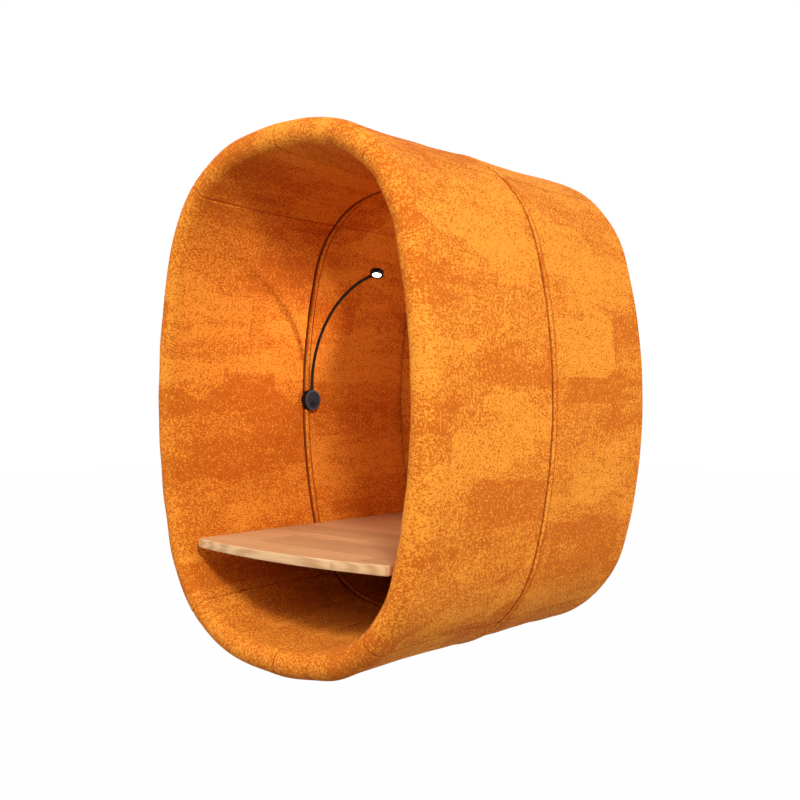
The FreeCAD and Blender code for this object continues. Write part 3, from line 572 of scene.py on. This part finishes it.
def frontCover():
    s, c = shell, covers
    lip, r = s["lipRadius"], c["frontRound"]
    outer, inner, end = s["outerSwell"], -s["innerSwell"], s["frontEnd"]
    lipOut, lipIn = (lip, lip), (-lip, lip)
    seamOut, seamIn = (outer, end - r), (inner, end - r)
    section, shown = walk((outer - r, end), [
        ([corner(outer - r, end - r, r, 45), seamOut], c["seamStep"], c["seamShown"]),
        ([sag(seamOut, lipOut, c["outerSag"]), lipOut], c["faceStep"], 1),
        ([corner(0, lip, lip, -45), (0, 0)], c["lipStep"], 1),
        ([corner(0, lip, lip, -135), lipIn], c["lipStep"], 1),
        ([sag(lipIn, seamIn, c["innerSag"]), seamIn], c["faceStep"], 1),
        ([corner(inner + r, end - r, r, 135), (inner + r, end)], c["seamStep"], c["seamShown"]),
        *hidden((s["flangeSlot"], end), (s["flangeSlot"], s["flangeFront"]), (s["hoopIn"], s["flangeFront"]),
                (s["hoopIn"], s["hoopFront"]), (s["hoopOut"], s["hoopFront"]), (s["hoopOut"], end),
                (outer - r, end)),
    ])
    cover = paddedRing("frontCover", section, shown, woolFront, end)
    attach(cover, "shell")
    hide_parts("front_cover")


def backCover():
    s, c = shell, covers
    outer, start, back = s["outerSwell"], s["backStart"], s["coverBack"]
    r, edge, hem, inside = c["backRound"], c["edge"], c["hem"], s["panelBack"] + s["panelGap"]
    seam, shoulder = (outer, start + r), (outer, back - edge)
    section, shown = walk((s["hoopOut"], start), [
        *hidden((outer - r, start)),
        ([corner(outer - r, start + r, r, -45), seam], c["seamStep"], c["seamShown"]),
        ([sag(seam, shoulder, c["backSag"]), shoulder], c["faceStep"], 1),
        ([corner(outer - edge, back - edge, edge, 45), (outer - edge, back)], c["edgeStep"], 0.6),
        ([(hem, back)], c["hemStep"], 0.2),
        *hidden((hem, inside), (s["hoopOut"], inside), (s["hoopOut"], start)),
    ])
    cover = paddedRing("backCover", section, shown, woolBack, start)
    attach(cover, "shell")
    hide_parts("back_cover")


def backLining():
    s, c = shell, covers
    inner, start, end = -s["innerSwell"], s["backStart"], s["panelFront"] - s["panelGap"]
    r = c["backRound"]
    first, last = (inner, start + r), (inner, end - r)
    section, shown = walk((s["hoopIn"], s["flangeBack"]), [
        *hidden((s["flangeSlot"], s["flangeBack"]), (s["flangeSlot"], start), (inner + r, start)),
        ([corner(inner + r, start + r, r, -135), first], c["seamStep"], c["seamShown"]),
        ([sag(first, last, c["liningSag"]), last], c["liningStep"], 1),
        ([(inner + r, end)], c["cutStep"], 0.5),
        *hidden((s["hoopIn"], end), (s["hoopIn"], s["flangeBack"])),
    ])
    lining = paddedRing("backLining", section, shown, woolLining, start)
    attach(lining, "shell")
    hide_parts("back_lining")


frontCover()
backCover()
backLining()
print("covers made")


def nodeTree(name, inputs):
    tree = bpy.data.node_groups.new(name, "GeometryNodeTree")
    tree.interface.new_socket("Geometry", in_out="INPUT", socket_type="NodeSocketGeometry")
    for label, kind, value in inputs:
        socket = tree.interface.new_socket(label, in_out="INPUT", socket_type="NodeSocket" + kind)
        if value is not None:
            socket.default_value = value
    tree.interface.new_socket("Geometry", in_out="OUTPUT", socket_type="NodeSocketGeometry")
    return tree, tree.nodes.new("NodeGroupInput"), tree.nodes.new("NodeGroupOutput")


def sweepTree():
    # a round cord along a curve, with its length and girth kept as a UV map
    tree, given, result = nodeTree("cordSweep", [
        ("Radius", "Float", 0.0075), ("Sides", "Int", 18), ("Material", "Material", None)])
    link = tree.links.new

    def add(kind):
        return tree.nodes.new("GeometryNode" + kind)

    circle = add("CurvePrimitiveCircle")
    link(given.outputs["Sides"], circle.inputs["Resolution"])
    link(given.outputs["Radius"], circle.inputs["Radius"])
    along, girth = add("SplineParameter"), add("SplineParameter")
    keepAlong, keepGirth = add("CaptureAttribute"), add("CaptureAttribute")
    for keep, label in ((keepAlong, "along"), (keepGirth, "girth")):
        keep.capture_items.new("FLOAT", label)
    link(given.outputs["Geometry"], keepAlong.inputs["Geometry"])
    link(along.outputs["Length"], keepAlong.inputs["along"])
    link(circle.outputs["Curve"], keepGirth.inputs["Geometry"])
    link(girth.outputs["Length"], keepGirth.inputs["girth"])
    sweep = add("CurveToMesh")
    sweep.inputs["Fill Caps"].default_value = True
    link(keepAlong.outputs["Geometry"], sweep.inputs["Curve"])
    link(keepGirth.outputs["Geometry"], sweep.inputs["Profile Curve"])
    pair = tree.nodes.new("ShaderNodeCombineXYZ")
    link(keepAlong.outputs["along"], pair.inputs["X"])
    link(keepGirth.outputs["girth"], pair.inputs["Y"])
    store = add("StoreNamedAttribute")
    store.data_type, store.domain = "FLOAT2", "CORNER"
    store.inputs["Name"].default_value = "weave"
    link(sweep.outputs["Mesh"], store.inputs["Geometry"])
    link(pair.outputs["Vector"], [s for s in store.inputs if s.name == "Value" and s.enabled][0])
    smooth, real, paint = add("SetShadeSmooth"), add("RealizeInstances"), add("SetMaterial")
    link(store.outputs["Geometry"], smooth.inputs["Geometry"])
    link(smooth.outputs["Geometry"], real.inputs["Geometry"])
    link(real.outputs["Geometry"], paint.inputs["Geometry"])
    link(given.outputs["Material"], paint.inputs["Material"])
    link(paint.outputs["Geometry"], result.inputs["Geometry"])
    return tree


def runTree(name, points, cyclic, tree, values):
    # points become a poly curve, the tree runs on it, and the result is kept as a plain mesh
    curve = bpy.data.curves.new(name + "Path", "CURVE")
    curve.dimensions = "3D"
    spline = curve.splines.new("POLY")
    spline.points.add(len(points) - 1)
    for spot, point in zip(spline.points, points):
        spot.co = (*point, 1)
    spline.use_cyclic_u = cyclic
    source = addObject(name + "Path", curve)
    modifier = source.modifiers.new("sweep", "NODES")
    modifier.node_group = tree
    for item in tree.interface.items_tree:
        if item.item_type == "SOCKET" and item.in_out == "INPUT" and item.name in values:
            modifier[item.identifier] = values[item.name]
    graph = bpy.context.evaluated_depsgraph_get()
    graph.update()
    mesh = bpy.data.meshes.new_from_object(source.evaluated_get(graph), depsgraph=graph)
    mesh.name = name
    source.modifiers.remove(modifier)
    bpy.data.objects.remove(source)
    return addObject(name, mesh)


lamp = {
    "wall": -0.364, "y": -0.409, "z": -0.003,
    # base
    "radius": 0.0275, "length": 0.018, "cup": 0.024, "face": 0.0223, "faceBack": 0.0147,
    "ledge": 0.003, "ledgeDrop": 0.0035, "baseSoft": 0.0014, "border": 0.001, "borderFlat": 0.75,
    # neck
    "neckFromWall": 0.013, "neckRadius": 0.0039, "neckSides": 24, "arc": 0.290, "turn": 76.0, "links": 6,
    "rise": 0.0345, "sleevePoints": 60, "sunk": 0.004, "firstBend": 0.002, "bendReach": 0.026,
    # head, with the lens's heights above the rim
    "headRadius": 0.018, "headHeight": 0.013, "headSoft": 0.0042, "headTop": 0.004, "roll": 20.0,
    "collar": 0.008, "collarBore": 0.0036, "collarRadius": 0.005, "collarBack": 0.004, "collarSoft": 0.0008,
    "lens": 0.012, "lensSeat": 0.0015, "lensGap": 0.0002, "lensSoft": 0.001,
    "lensBack": 0.0031, "lensEdge": 0.0008, "lensDome": (0.006, 0.0003), "lensLow": 0.0002,
}
toWall = Matrix.Translation((lamp["wall"], lamp["y"], lamp["z"])) @ Matrix.Rotation(math.radians(90), 4, "Y")

piping = {
    "outerOffset": 0.0205, "innerOffset": -0.0410, "points": 520, "sides": 20,
    "lampGap": 0.0284, "endPlay": 0.0002,     # radius of the gap at the lamp's base
}
cordSweep = sweepTree()
lampPlace = sum(arcLengths[:6]) + arcLengths[6] / 2 - lamp["z"]      # distance round the outline


def tuckEnds(cord):
    # the two ends of the cord meet the round side of the lamp's base
    for vertex in cord.data.vertices:
        rise = vertex.co.z - lamp["z"]
        if vertex.co.x < 0 and abs(rise) < piping["lampGap"] + piping["endPlay"]:
            reach = math.sqrt(piping["lampGap"] ** 2 - (vertex.co.y - lamp["y"]) ** 2)
            vertex.co.z = lamp["z"] + math.copysign(reach, rise)


def pipingCords():
    p = piping
    depth = shell["pipingDepth"] - shell["depth"]
    gap = p["lampGap"] * shell["sideRadius"] / (shell["sideRadius"] + p["innerOffset"])
    full = np.arange(p["points"]) * perimeter / p["points"]
    broken = np.linspace(lampPlace + gap, lampPlace - gap + perimeter, p["points"])
    cords = (("outerPiping", full, p["outerOffset"], True, "outer_piping", woolOuterPiping),
             ("innerPiping", broken, p["innerOffset"], False, "inner_piping", woolInnerPiping))
    for name, distances, offset, cyclic, node, finish in cords:
        points = [(x, depth, z) for x, z in outlinePoints(distances, offset)]
        cord = runTree(name, points, cyclic, cordSweep,
                       {"Radius": shell["pipingRadius"], "Sides": p["sides"], "Material": finish})
        if not cyclic:
            tuckEnds(cord)
        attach(cord, "shell")
        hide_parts(node)


pipingCords()
print("piping made")


padSettings = {
    "edge": -0.0466, "front": 0.8129, "back": 0.8309, "crown": 0.005, "roll": 0.018, "around": 224,
    "halfWidth": 0.36, "set": 0.0012, "edgeThick": 0.004, "waves": 7, "waveTurns": 22, "wave": 0.0006,
    # how far each ring lies towards the middle: close at the edge, then even
    "edgeRings": [0.0, 0.004, 0.01, 0.018, 0.028, 0.04, 0.055, 0.075], "evenRings": (0.1, 0.97, 26),
}


def backPad():
    # crowned pad: rings of the outline, closing to the middle
    p = padSettings
    n, most = p["around"], p["waveTurns"]
    edgePoints = outlinePoints(np.arange(n) * perimeter / n, p["edge"])
    rings = [(edgePoints, np.full(n, p["back"]))]
    rng = np.random.default_rng(5)
    waves = [(rng.uniform(-most, most), rng.uniform(-most, most), rng.uniform(0, 6.28))
             for _ in range(p["waves"])]
    for share in p["edgeRings"] + list(np.linspace(*p["evenRings"])):
        points = edgePoints * (1 - share)
        roll = min(1.0, share * p["halfWidth"] / p["roll"])
        drop = p["crown"] * (1 - math.sqrt(max(0.0, 1 - (1 - roll) ** 2)))
        soft = sum(np.sin(points[:, 0] * a + points[:, 1] * c + f) for a, c, f in waves) * p["wave"] * roll
        depth = p["front"] + p["set"] + drop - soft
        rings.append((points, np.minimum(depth, p["back"] - p["edgeThick"])))
    verts, faces, uv = [], [], []
    for points, depth in rings:
        verts += [(x, d - shell["depth"], z) for (x, z), d in zip(points, depth)]
    for r in range(len(rings) - 1):
        for i in range(n):
            j = (i + 1) % n
            faces.append((r * n + i, r * n + j, (r + 1) * n + j, (r + 1) * n + i))
    last = (len(rings) - 1) * n
    faces.append(tuple(last + i for i in range(n)))
    faces.append(tuple(reversed(range(n))))
    for face in faces:
        uv += [(verts[k][2], verts[k][0]) for k in face]
    pad = newObject("backPad", verts, faces, woolPad, uv)
    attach(pad, "shell")
    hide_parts("back_pad")


backPad()
print("pad made")


board = {
    "top": -0.330, "thick": 0.022, "front": 0.032, "bow": 0.030, "bowSteps": 40, "frontHalf": 0.305,
    "side": 0.3110, "taper": 0.310, "back": 0.8089, "notchDepth": 0.005, "notchHalf": 0.008,
    "corner": 0.0077, "cornerSteps": 8, "edge": 0.003, "edgeSteps": 4,
    "sharp": 0.6, "flatArea": 0.002,        # an edge's angle to be softened, and the face that stays flat
}


def deskBoard():
    # plan outline with a bowed front, round front corners and notches for the piping, then a soft edge
    b = board
    plan = []
    half, steps = b["frontHalf"], b["bowSteps"]
    radius = (half ** 2 + b["bow"] ** 2) / (2 * b["bow"])
    for k in range(steps + 1):
        x = -half + 2 * half * k / steps
        plan.append((x, b["front"] + radius - b["bow"] - math.sqrt(radius ** 2 - x * x)))
    near, far = shell["pipingDepth"] - b["notchHalf"], shell["pipingDepth"] + b["notchHalf"]
    side, notch = b["side"], b["side"] - b["notchDepth"]
    right = [(side, b["taper"]), (side, near), (notch, near), (notch, far), (side, far), (side, b["back"])]
    plan += right + [(-x, d) for x, d in reversed(right)]
    bm = bmesh.new()
    ring = [bm.verts.new((x, d - shell["depth"], b["top"] - b["thick"])) for x, d in plan]
    base = bm.faces.new(ring)
    fronts = [ring[0], ring[steps]]
    made = bmesh.ops.extrude_face_region(bm, geom=[base])
    lifted = [g for g in made["geom"] if isinstance(g, bmesh.types.BMVert)]
    bmesh.ops.translate(bm, verts=lifted, vec=(0, 0, b["thick"]))

    def climb(edge):
        return abs(edge.verts[0].co.z - edge.verts[1].co.z)

    uprights = [e for v in fronts for e in v.link_edges if climb(e) > b["thick"] / 2]
    bmesh.ops.bevel(bm, geom=uprights, offset=b["corner"], segments=b["cornerSteps"],
                    affect="EDGES", profile=0.5)
    bmesh.ops.recalc_face_normals(bm, faces=bm.faces)
    rims = [e for e in bm.edges
            if len(e.link_faces) == 2 and e.calc_face_angle(0) > b["sharp"] and climb(e) < 0.001]
    bmesh.ops.bevel(bm, geom=rims, offset=b["edge"], segments=b["edgeSteps"],
                    affect="EDGES", profile=0.5)
    mesh = bpy.data.meshes.new("deskBoard")
    bm.to_mesh(mesh)
    bm.free()
    mesh.materials.append(oakFinish)
    obj = addObject("deskBoard", mesh)
    mesh.polygons.foreach_set("use_smooth", [p.area < b["flatArea"] for p in mesh.polygons])
    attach(obj, "shell")
    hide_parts("desk_board")


deskBoard()
print("board made")


def lathe(name, profile, material, segments=64):
    # profile of (radius, height), open at the axis; turned about +Z
    verts, faces = [], []
    m = len(profile)
    for k in range(segments):
        a = 2 * math.pi * k / segments
        verts += [(r * math.cos(a), r * math.sin(a), h) for r, h in profile]
    for k in range(segments):
        n = (k + 1) % segments
        for i in range(m - 1):
            faces.append((k * m + i, n * m + i, n * m + i + 1, k * m + i + 1))
    return newObject(name, verts, faces, material, weld=1e-6)


def roundedProfile(corners, radius, steps=4):
    # a polyline with its inner corners rounded
    path = [corners[0]]
    for before, here, after in zip(corners, corners[1:], corners[2:]):
        one, two = Vector(before) - Vector(here), Vector(after) - Vector(here)
        cut = min(radius, one.length * 0.45, two.length * 0.45)
        p, q = Vector(here) + one.normalized() * cut, Vector(here) + two.normalized() * cut
        for k in range(steps + 1):
            f = k / steps
            spot = p * (1 - f) ** 2 + Vector(here) * 2 * f * (1 - f) + q * f * f
            path.append((spot.x, spot.y))
    path.append(corners[-1])
    return path


def lampBase():
    c = lamp
    radius, top, face, cup = c["radius"], c["length"], c["face"], c["cup"]
    ledge, seat = face - c["ledge"], c["faceBack"]
    corners = [(cup, 0.0), (radius, 0.0), (radius, top), (face, top), (face, seat), (ledge, seat),
               (ledge, seat - c["ledgeDrop"]), (cup, seat - c["ledgeDrop"]), (cup, 0.0)]
    base = lathe("lampBase", roundedProfile(corners, c["baseSoft"]), satinBlack, 96)
    base.data.materials.append(paintedRimHighlight)
    # the flat ring round the face takes the lighter grey: painted highlight on the rim
    for polygon in base.data.polygons:
        if polygon.normal.z > c["borderFlat"] and polygon.center.z > top - c["border"]:
            polygon.material_index = 1
    base.data.transform(toWall)
    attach(base, "shell")
    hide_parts("lamp_base")


lampBase()

neckCentre = Vector((lamp["wall"] + lamp["neckFromWall"] + lamp["arc"], lamp["y"], lamp["rise"]))
linkTurn = math.radians(lamp["turn"]) / lamp["links"]


def neckSpot(angle):
    return neckCentre + Vector((-math.cos(angle), 0, math.sin(angle))) * lamp["arc"]


def neckSleeves():
    # one length of sleeve for each joint, from the middle of a link to the middle of the next
    c = lamp
    count, steps, half = c["links"], c["sleevePoints"], linkTurn / 2
    for k in range(count):
        joint = linkTurn * k
        first = joint - half if k else -c["sunk"] / c["arc"]
        last = joint + half if k < count - 1 else linkTurn * count
        points = [tuple(neckSpot(first + (last - first) * i / steps)) for i in range(steps + 1)]
        sleeve = runTree("neckSleeve%d" % (k + 1), points, False, cordSweep,
                         {"Radius": c["neckRadius"], "Sides": c["neckSides"], "Material": satinBlack})
        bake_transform(sleeve)
        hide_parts("neck_link_%d" % (k + 1))


neckSleeves()
toHead = (Matrix.Translation(neckSpot(linkTurn * lamp["links"]))
          @ Matrix.Rotation(math.radians(lamp["turn"] - 90), 4, "Y")
          @ Matrix.Rotation(math.radians(-lamp["roll"]), 4, "X"))


def lampHead():
    # shallow puck with a soft top edge, a collar on the neck and a recessed opal lens
    c = lamp
    r, h, lensRadius = c["headRadius"], c["headHeight"] / 2, c["lens"]
    rim, seat, inside = -c["headHeight"] / 2, lensRadius - c["lensSeat"], h - c["headTop"]
    lensBack, lensSide = rim + c["lensBack"], lensRadius - c["lensGap"]
    middle = c["collar"] + r - c["headTop"]
    toMiddle = Matrix.Translation((middle, 0, 0))
    corners = [(0, h), (r, h), (r, rim), (lensRadius, rim), (lensRadius, lensBack), (seat, lensBack),
               (seat, inside), (0, inside)]
    puck = lathe("lampHead", roundedProfile(corners, c["headSoft"], 7), satinBlack, 96)
    puck.data.transform(toMiddle)
    bore, girth, back, reach = c["collarBore"], c["collarRadius"], -c["collarBack"], middle - lensRadius
    corners = [(bore, back), (girth, back), (girth, reach), (0.0, reach)]
    grip = lathe("headCollar", roundedProfile(corners, c["collarSoft"]), satinBlack, 48)
    grip.data.transform(Matrix.Rotation(math.radians(90), 4, "Y"))
    for piece in (puck, grip):
        piece.data.transform(toHead)
        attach(piece, "neck_6")
    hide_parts("lamp_head")
    domeRadius, domeRise = c["lensDome"]
    corners = [(0, lensBack), (lensSide, lensBack), (lensSide, rim + c["lensEdge"]),
               (domeRadius, rim + domeRise), (0, rim + c["lensLow"])]
    lens = lathe("lampLens", roundedProfile(corners, c["lensSoft"]), lensGlow, 72)
    lens.data.transform(toMiddle)
    lens.data.transform(toHead)
    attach(lens, "neck_6")
    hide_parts("lamp_lens")


lampHead()
print("lamp made")

# the solids that stay, with their finishes
finishes = (
    (birchPly, ("front_hoop", "back_hoop", "front_flange", "back_flange", "back_panel")),
    (timber, ("desk_cleat_left", "desk_cleat_right")),
    (zincSteel, ("flange_bolts", "flange_nuts", "panel_screws", "rail_screws", "cleat_screws", "board_screws",
                 "lamp_plate", "lamp_plate_screws")),
    (railAlloy, ("upper_shell_rail", "lower_shell_rail", "upper_wall_rail", "lower_wall_rail")),
    (rubberBlack, ("cable_grommet", "switch_body")),
    (satinBlack, ("neck_ferrule",)),
    (faceBlack, ("lamp_face",)),
    (rockerBlack, ("lamp_rocker",)),
    (ledBoard, ("led_board",)),
)
for finish, nodes in finishes:
    for node in nodes:
        slots = cadNodes[node].data.materials
        slots.clear()
        slots.append(finish)


studio = {
    "floor": -1.05, "floorSize": 24.0, "pale": (0.3, 0.3, 0.3), "floorSeen": 0.99,
    "white": (1.0, 1.0, 1.0), "skyLow": 0.22, "skyHigh": 1.05,
}
lights = {
    "keyLight": {"place": (2.7, -2.6, 1.7), "target": (0, -0.45, 0.0), "size": 0.6, "power": 106.0},
    "fillLight": {"place": (-1.6, -3.4, 1.4), "target": (0, -0.5, -0.1), "size": 2.4, "power": 52.0},
    "sideLight": {"place": (2.7, 0.5, -0.6), "target": (0.4, -0.4, -0.1), "size": 1.8, "power": 27.0},
    # two small ones inside the shell
    "innerGlow": {"place": (0.12, -0.40, 0.28), "target": (-0.05, -0.03, 0.0), "size": 0.3, "power": 0.85},
    "innerBeam": {"place": (-0.07, -0.075, 0.21), "target": (-0.33, -0.70, 0.16), "size": 0.03, "power": 0.44,
                  "spread": 60.0, "tint": (1.0, 0.84, 0.66)},
}
view = {
    "place": (1.6645, -2.3035, 0.0), "turn": 41.58, "lens": 45.75, "shift": (-0.0055, -0.00125),
    "sensor": 36.0, "far": 100.0,
}


def paleFloor():
    # pale to the lights, nearly white to the camera and to mirrors, and it still takes a shadow
    b = ShaderBench("paleFloor")
    plain = b.node("BsdfDiffuse", None, {"Color": studio["pale"]})
    white = b.node("Emission", None, {"Color": studio["white"], "Strength": 1.0})
    b.show(b.node("MixShader", None, {0: b.seen() * studio["floorSeen"], 1: plain, 2: white}))
    mesh = bpy.data.meshes.new("paleFloor")
    h, z = studio["floorSize"] / 2, studio["floor"]
    mesh.from_pydata([(-h, -h, z), (h, -h, z), (h, h, z), (-h, h, z)], [], [(0, 1, 2, 3)])
    mesh.materials.append(b.owner)
    obj = addObject("paleFloor", mesh)


def paleSky():
    # brighter from above, and plain white to the camera
    b = ShaderBench("paleSky", forSky=True)
    height = b.split(b.node("TexCoord", out="Generated"))[2]
    climb = b.node("MapRange", None,
                   {"Value": height, "To Min": studio["skyLow"], "To Max": studio["skyHigh"]})
    light = b.node("Background", None, {"Color": studio["white"], "Strength": climb})
    white = b.node("Background", None, {"Color": studio["white"]})
    bpy.context.scene.world = b.show(b.node("MixShader", None, {0: b.seen(), 1: light, 2: white}))


def areaLight(name, place, target, size, power, spread=180.0, tint=(1, 1, 1)):
    data = bpy.data.lights.new(name, "AREA")
    data.shape, data.size, data.energy, data.spread = "DISK", size, power, math.radians(spread)
    data.color = tint
    obj = addObject(name, data)
    obj.location = place
    obj.rotation_euler = (Vector(target) - Vector(place)).to_track_quat("-Z", "Y").to_euler()


def photoView():
    data = bpy.data.cameras.new("photoView")
    data.sensor_width, data.lens, data.clip_end = view["sensor"], view["lens"], view["far"]
    data.shift_x, data.shift_y = view["shift"]
    camera = addObject("photoView", data)
    camera.location = view["place"]
    camera.rotation_euler = (math.radians(90), 0, math.radians(view["turn"]))
    bpy.context.scene.camera = camera


paleFloor()
paleSky()
for name, settings in lights.items():
    areaLight(name, **settings)
photoView()
bpy.context.scene.view_settings.view_transform = "Standard"
print("studio made")
